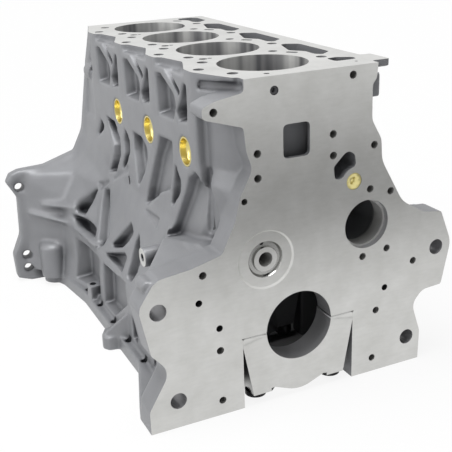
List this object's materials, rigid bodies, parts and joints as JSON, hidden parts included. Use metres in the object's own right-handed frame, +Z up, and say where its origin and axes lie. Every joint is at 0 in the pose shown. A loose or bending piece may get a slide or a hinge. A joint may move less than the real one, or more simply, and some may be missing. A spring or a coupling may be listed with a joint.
{
  "type": "engine block",
  "caption": "Cast cylinder block for an in-line engine, with machined deck and near face, ribbed side wall, deep skirt, bearing caps and a flange at the far end.",
  "frame": {"origin": "on the crankshaft axis, at the machined near face", "axes": "+X to the right as the near face is looked at, +Y along the crankshaft axis to the far end, +Z up towards the deck"},
  "size_m": [0.4134, 0.457, 0.346],
  "materials": {
    "casting": "as-cast mid grey with ground faces",
    "cap": "machined",
    "bolt": "black oxide",
    "bush": "bored",
    "brass_plug": "bright pressed",
    "steel_plug": "pressed"
  },
  "bodies": {
    "root": {"cylinder_block": "casting", "main_cap_1": "cap", "main_cap_2": "cap", "main_cap_3": "cap", "main_cap_4": "cap", "main_cap_5": "cap", "main_bolts_1": "bolt", "main_bolts_2": "bolt", "main_bolts_3": "bolt", "main_bolts_4": "bolt", "main_bolts_5": "bolt", "cam_bush_1": "bush", "cam_bush_2": "bush", "cam_bush_3": "bush", "cam_bush_4": "bush", "cam_bush_5": "bush", "core_plug_left_1": "brass_plug", "core_plug_left_2": "brass_plug", "core_plug_left_3": "brass_plug", "gallery_plug_front": "brass_plug", "socket_plug": "bolt", "cam_rear_plug": "steel_plug"}
  },
  "joints": []
}
